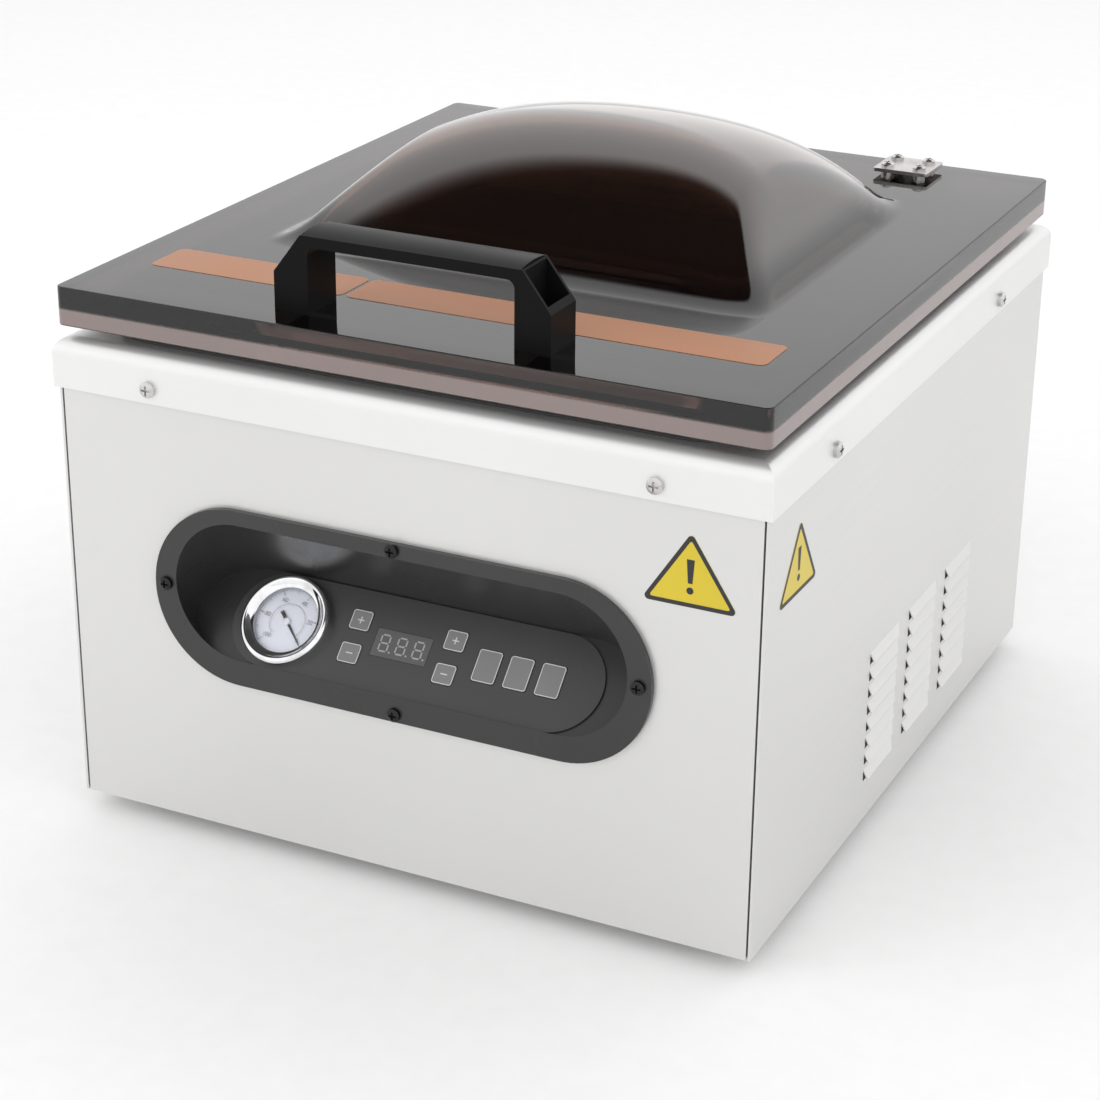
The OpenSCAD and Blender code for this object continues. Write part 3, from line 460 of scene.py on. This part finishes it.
def lid_shell():
    """The lid as one fine surface: plate, dome and hollow, with rounded corners and broken edges."""
    x0, x1 = LID_LOW.x / MM, LID_HIGH.x / MM
    y0, y1 = LID_LOW.y / MM, LID_HIGH.y / MM
    xs = [x0, x0 + RIM_STRIP] + steps_between(*DOME_ZONE_X, GRID) + [x1 - RIM_STRIP, x1]
    ys = [y0, y0 + RIM_STRIP, FRONT_ROW] + steps_between(*DOME_ZONE_Y, GRID) + [y1 - RIM_STRIP, y1]
    bm = bmesh.new()
    top, under = [], []
    for y in ys:
        rises = [dome_rise(x, y) for x in xs]
        top.append([bm.verts.new((x * MM, y * MM, LID_TOP + h * MM)) for x, h in zip(xs, rises)])
        under.append([bm.verts.new((x * MM, y * MM, LID_TOP + (h - lid_skin(h)) * MM))
                      for x, h in zip(xs, rises)])
    for j in range(len(ys) - 1):
        for i in range(len(xs) - 1):
            bm.faces.new((top[j][i], top[j][i + 1], top[j + 1][i + 1], top[j + 1][i]))
            bm.faces.new((under[j][i], under[j + 1][i], under[j + 1][i + 1], under[j][i + 1]))
    last_x, last_y = len(xs) - 1, len(ys) - 1
    rim = ([(0, i) for i in range(last_x)] + [(j, last_x) for j in range(last_y)]
           + [(last_y, i) for i in range(last_x, 0, -1)] + [(j, 0) for j in range(last_y, 0, -1)])
    for (j, i), (next_j, next_i) in zip(rim, rim[1:] + rim[:1]):
        bm.faces.new((top[j][i], under[j][i], under[next_j][next_i], top[next_j][next_i]))
    corners = [e for e in bm.edges if abs(e.verts[0].co.z - e.verts[1].co.z) > 10 * MM
               and abs(abs(e.verts[0].co.x) - x1 * MM) < 1e-6
               and (abs(e.verts[0].co.y - y0 * MM) < 1e-6 or abs(e.verts[0].co.y - y1 * MM) < 1e-6)]
    bmesh.ops.bevel(bm, geom=corners, offset=CORNER_R, segments=5, profile=0.5, affect="EDGES")
    edges = [e for e in bm.edges if len(e.link_faces) == 2 and e.calc_face_angle(0) > RIM_ANGLE]
    bmesh.ops.bevel(bm, geom=edges, offset=EDGE_R, segments=2, profile=0.5, affect="EDGES")
    made = bpy.data.meshes.new("lid_shell")
    bm.to_mesh(made)
    bm.free()
    thin = made.attributes.new("thin", "FLOAT", "POINT")
    for vertex, value in zip(made.vertices, thin.data):
        skin = lid_skin(dome_rise(vertex.co.x / MM, vertex.co.y / MM))
        value.value = (LID_T - skin) / (LID_T - DOME_WALL)
    # Marks the rim's side faces, on which the acrylic paints its glow of light through the edge
    edge = made.attributes.new("edge", "FLOAT", "FACE")
    for polygon, value in zip(made.polygons, edge.data):
        value.value = 1.0 if abs(polygon.normal.z) < 0.3 else 0.0
    return piece("lid_shell", made, MATERIALS["smoked_acrylic"], "lid_assembly", "smoked_acrylic", "lid")


# ---------------------------------------------------------------- gauge

SWEEP_START, SWEEP = math.radians(225), math.radians(-270)
OUTER_SCALE_R, NUMERAL_R, INNER_SCALE_R = 17.0 * MM, 12.0 * MM, 9.5 * MM
DIAL_FACE = 0.8 * MM
INK = 0.06 * MM                # thickness of a printed mark


def on_dial(x, y, z):
    """A point on the dial: x and y from its middle, z out of its face."""
    return on_panel(GAUGE_X + x, y, DIAL_FACE + z)


def on_gauge(x, y, z):
    """A point over the gauge's place on the panel: z out of the panel's face."""
    return on_panel(GAUGE_X + x, y, z)


def dial_marks():
    """Fifty divisions on the outer scale, with an arc and a coarser inner scale."""
    parts = []
    for i in range(51):
        a = SWEEP_START + SWEEP * i / 50
        start, width = (14.2, 0.36) if i % 10 == 0 else (15.2, 0.22) if i % 5 == 0 else (15.9, 0.13)
        parts.append(prism(bar_outline(0, 0, a, start * MM, OUTER_SCALE_R, width * MM), 0, INK, on_dial))
    for i in range(31):
        a = SWEEP_START + SWEEP * i / 30
        start = 8.2 if i % 5 == 0 else 8.9
        parts.append(prism(bar_outline(0, 0, a, start * MM, INNER_SCALE_R, 0.14 * MM), 0, INK, on_dial))
    for r in (OUTER_SCALE_R, INNER_SCALE_R):
        arc = [SWEEP_START + SWEEP * i / 60 for i in range(61)]
        outline = [((r + w) * math.cos(a), (r + w) * math.sin(a)) for w, run in
                   ((0.09 * MM, arc), (-0.09 * MM, arc[::-1])) for a in run]
        parts.append(prism(outline[::-1], 0, INK, on_dial))
    return piece("dial_marks", joined("dial_marks", parts), PRINT, "cabinet", "needle")


def lathe(profile, place, steps=96):
    """A closed ring or cap turned from (radius, height) points in millimetres.

    The last point is joined to the first.
    """
    bm = bmesh.new()
    rings = []
    turns = [2 * math.pi * i / steps for i in range(steps)]
    for r, z in profile:
        rings.append([bm.verts.new(place(r * MM * math.cos(a), r * MM * math.sin(a), z * MM))
                      for a in turns])
    for inner, outer in zip(rings, rings[1:] + rings[:1]):
        for i in range(steps):
            bm.faces.new((inner[i], outer[i], outer[(i + 1) % steps], inner[(i + 1) % steps]))
    return bm


def gauge_rim():
    """Polished rim: skirt, rounded bead and a bright inner slope that leads down to the lens."""
    bead = [(21.5 + 1.9 * math.cos(math.radians(a)), 4.1 + 1.9 * math.sin(math.radians(a)))
            for a in range(0, 136, 15)]
    slope = [(19.4, 4.75), (18.6, 4.2), (17.9, 3.8), (17.2, 3.6), (17.2, 3.45)]
    profile = [(23.4, 0)] + bead + slope + [(22.1, 3.45), (22.1, 0)]
    piece("gauge_rim", joined("gauge_rim", [lathe(profile, on_gauge)]), MATERIALS["chrome"],
          "cabinet", "chrome", "gauge_ring")


def needle_hub():
    """Pale turned cap over the needle's boss."""
    profile = [(0.05, 1.55), (1.2, 1.5), (1.75, 1.3), (1.9, 0.9), (1.9, 0.3), (0.05, 0.3)]
    piece("needle_hub", joined("needle_hub", [lathe(profile, on_dial, 40)]), MATERIALS["dial"],
          "pointer", "dial")


def dial_numerals():
    """0 to 100 in twenties. The pointer rests at 0, on the right, and climbs anticlockwise."""
    for i in range(6):
        curve = bpy.data.curves.new(f"dial_numeral_{i}", "FONT")
        curve.body = str(100 - 20 * i)
        curve.size = 3.2 * MM
        curve.extrude = INK / 2
        curve.align_x = "CENTER"
        curve.align_y = "CENTER"
        text = bpy.data.objects.new(curve.name, curve)
        bpy.context.scene.collection.objects.link(text)
        a = SWEEP_START + SWEEP * i / 5
        where = on_dial(NUMERAL_R * math.cos(a), NUMERAL_R * math.sin(a), INK / 2)
        turn = Matrix((Vector((1, 0, 0)), UP_SLOPE, OUT)).transposed().to_4x4()
        bpy.context.view_layer.update()
        solid = bpy.data.meshes.new_from_object(text)
        solid.transform(Matrix.Translation(where) @ turn)
        bpy.data.objects.remove(text)
        piece(f"dial_numeral_{i}", solid, PRINT, "cabinet", "needle")


# ---------------------------------------------------------------- keys

KEYS = [n for n in NODES if n.startswith("key_")]
KEY_T = 1.0 * MM
KEY_FRAME_OUT, KEY_FRAME_IN = 0.2 * MM, 1.0 * MM     # how much less than the key each outline is
SIGN_LONG, SIGN_WIDE = 3.6 * MM, 0.6 * MM


def key_size(node):
    """Width of a key, and its height along the slope."""
    lo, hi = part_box(node)
    slope = (hi.z - lo.z - KEY_T * math.sin(TILT)) / math.sin(TILT)
    return hi.x - lo.x, slope


def key_print(node):
    """The pale frame printed round a key's face, and its plus or minus sign."""
    w, h = key_size(node)
    face = middle(node) + OUT * (KEY_T / 2)

    def on_key(x, y, z):
        return face + Vector((x, 0, 0)) + UP_SLOPE * y + OUT * z

    outer = box_outline(0, 0, w - KEY_FRAME_OUT, h - KEY_FRAME_OUT, 1.3 * MM)
    inner = box_outline(0, 0, w - KEY_FRAME_IN, h - KEY_FRAME_IN, 0.9 * MM)
    parts = [band(outer, inner, 0, INK, on_key)]
    if node.endswith(("plus", "minus")):
        parts.append(prism(box_outline(0, 0, SIGN_LONG, SIGN_WIDE, 0.1 * MM), 0, INK, on_key))
    if node.endswith("plus"):
        for s in (1, -1):
            stroke = box_outline(0, s * 1.05 * MM, SIGN_WIDE, 1.5 * MM, 0.1 * MM)
            parts.append(prism(stroke, 0, INK, on_key))
    piece(node + "_print", joined(node + "_print", parts), PALE_PRINT, node + "_cap", "display_figure")


# ---------------------------------------------------------------- stickers

STICKER_W, STICKER_H = 47 * MM, 36 * MM
STICKER_T = 0.15 * MM
FRONT_STICKER = (149 * MM, 183 * MM)       # middle and base of the sticker on the front panel
SIDE_STICKER = (-167 * MM, 181.5 * MM)     # the same on the right-hand panel


def triangle(cx, base, w, h, r, steps=8):
    """Triangle with rounded corners, standing on its base."""
    slope = math.atan2(2 * h, w)
    inset = r / math.tan(slope / 2)
    points = []
    lean = math.degrees(slope)
    for px, py, start, end in ((w / 2 - inset, r, -90, 90 - lean),
                               (0, h - r / math.cos(slope), 90 - lean, 90 + lean),
                               (inset - w / 2, r, 90 + lean, 270)):
        for i in range(steps + 1):
            a = math.radians(start + (end - start) * i / steps)
            points.append((cx + px + r * math.cos(a), base + py + r * math.sin(a)))
    return points


def sticker_print(name, cx, base, place):
    """Dark border and a plain exclamation mark."""
    outer = triangle(cx, base + 0.05 * MM, STICKER_W - 0.2 * MM, STICKER_H - 0.15 * MM, 1.9 * MM)
    inner = triangle(cx, base + 2.1 * MM, STICKER_W - 7.4 * MM, STICKER_H - 5.9 * MM, 0.8 * MM)
    low, high = STICKER_T, STICKER_T + INK
    stem = [(cx - 1.1 * MM, base + 11.5 * MM), (cx + 1.1 * MM, base + 11.5 * MM),
            (cx + 1.9 * MM, base + 23 * MM), (cx - 1.9 * MM, base + 23 * MM)]
    parts = [band(outer, inner, low, high, place), prism(stem, low, high, place),
             prism(circle_outline(cx, base + 8 * MM, 1.7 * MM), low, high, place)]
    piece(name, joined(name, parts), PRINT, "cabinet", "needle")


# ---------------------------------------------------------------- build

for node, obj in NODES.items():
    obj.data.materials.clear()
    obj.data.materials.append(MATERIALS[SLOT[node]])
# The deck gets the lighter steel: painted light for its bright lip
NODES["chamber_deck"].data.materials[0] = LIT_DECK_STEEL
# Painted shade: the corner posts are made dark so that the gaps between the panels look shaded
NODES["corner_posts"].data.materials[0] = PAINTED_SHADE_STEEL

lid_shell()
softened("lid_handle", "lid_assembly", 1.1 * MM, 3)
softened("control_bezel", "cabinet", 0.7 * MM, 2)
softened("hinge_plates", "lid_assembly", 0.4 * MM).data.materials[0] = HINGE_STEEL
softened("mains_inlet", "cabinet", 0.5 * MM)
gauge_rim()
needle_hub()
dial_marks()
dial_numerals()
for key in KEYS:
    key_print(key)
sticker_print("front_sticker_print", *FRONT_STICKER, on_front)
sticker_print("side_sticker_print", *SIDE_STICKER, on_side)

# ---------------------------------------------------------------- stage, light and camera

FLOOR_HALF = 8
CAMERA_AT = (0.5608, -1.1999, 0.6741)
NEAR, FAR = 0.01, 50
AZIMUTH, ELEVATION, ROLL = math.radians(25.81), math.radians(23.37), math.radians(0.58)
LENS, SENSOR = 87.3, 36                # millimetres
WHITE, DARK = 1.2, 0.03                # strength of the surround below and at the zenith
DARK_FROM, DARK_FULL = 0.82, 0.885     # heights, as a sine, between which it darkens


def floor():
    """Plain pale paper that the object stands on."""
    bm = bmesh.new()
    bmesh.ops.create_grid(bm, x_segments=8, y_segments=8, size=FLOOR_HALF)
    made = bpy.data.meshes.new("floor")
    bm.to_mesh(made)
    bm.free()
    obj = bpy.data.objects.new("floor", made)
    bpy.context.scene.collection.objects.link(obj)
    paper = Shader("floor")
    grain = paper.noise(60, 4)
    paper.color(grain, (0.87, 0.87, 0.87), (0.89, 0.89, 0.89)).rough(grain, 0.82, 0.92)
    obj.data.materials.append(paper.bump(grain, 0.05, 0.0002).material)


def softbox(name, where, aim, size, watts):
    """A large soft light that lights the object but is not mirrored in it."""
    light = bpy.data.lights.new(name, "AREA")
    light.shape = "RECTANGLE"
    light.size, light.size_y = size
    light.energy = watts
    obj = bpy.data.objects.new(name, light)
    bpy.context.scene.collection.objects.link(obj)
    obj.location = where
    obj.rotation_mode = "QUATERNION"
    obj.rotation_quaternion = (Vector(aim) - Vector(where)).to_track_quat("-Z", "Y")
    obj.visible_glossy = False


def camera():
    """The camera, to the front right and a little above."""
    data = bpy.data.cameras.new("camera")
    data.sensor_width = SENSOR
    data.lens = LENS
    obj = bpy.data.objects.new("camera", data)
    bpy.context.scene.collection.objects.link(obj)
    obj.location = CAMERA_AT
    back = Vector((math.sin(AZIMUTH) * math.cos(ELEVATION), -math.cos(AZIMUTH) * math.cos(ELEVATION),
                   math.sin(ELEVATION)))
    right = Vector((math.cos(AZIMUTH), math.sin(AZIMUTH), 0))
    up = back.cross(right)
    right, up = right * math.cos(ROLL) + up * math.sin(ROLL), up * math.cos(ROLL) - right * math.sin(ROLL)
    obj.rotation_mode = "QUATERNION"
    obj.rotation_quaternion = Matrix((right, up, back)).transposed().to_quaternion()
    data.clip_start, data.clip_end = NEAR, FAR
    bpy.context.scene.camera = obj


def surround():
    """Soft white surround with a dark zenith, which the dome mirrors in its front."""
    world = bpy.data.worlds.new("studio")
    world.use_nodes = True
    tree = world.node_tree
    back = tree.nodes["Background"]
    where = tree.nodes.new("ShaderNodeTexCoord")
    split = tree.nodes.new("ShaderNodeSeparateXYZ")
    rise = tree.nodes.new("ShaderNodeMapRange")
    rise.interpolation_type = "SMOOTHSTEP"
    for key, value in (("From Min", DARK_FROM), ("From Max", DARK_FULL),
                       ("To Min", WHITE), ("To Max", DARK)):
        rise.inputs[key].default_value = value
    tree.links.new(where.outputs["Generated"], split.inputs["Vector"])
    tree.links.new(split.outputs["Z"], rise.inputs["Value"])
    tree.links.new(rise.outputs["Result"], back.inputs["Strength"])
    back.inputs["Color"].default_value = (1.0, 1.0, 1.0, 1.0)
    bpy.context.scene.world = world


bpy.context.scene.view_settings.view_transform = "Standard"
floor()
surround()
softbox("overhead", (0.2, 0.2, 2.6), (0, 0, 0), (4.0, 4.0), 31)
softbox("front_left", (-1.7, -2.2, 1.2), (0, -0.1, 0.15), (1.8, 1.6), 14)
softbox("right", (2.4, -0.6, 0.9), (0.1, 0, 0.15), (1.6, 1.2), 3)
camera()
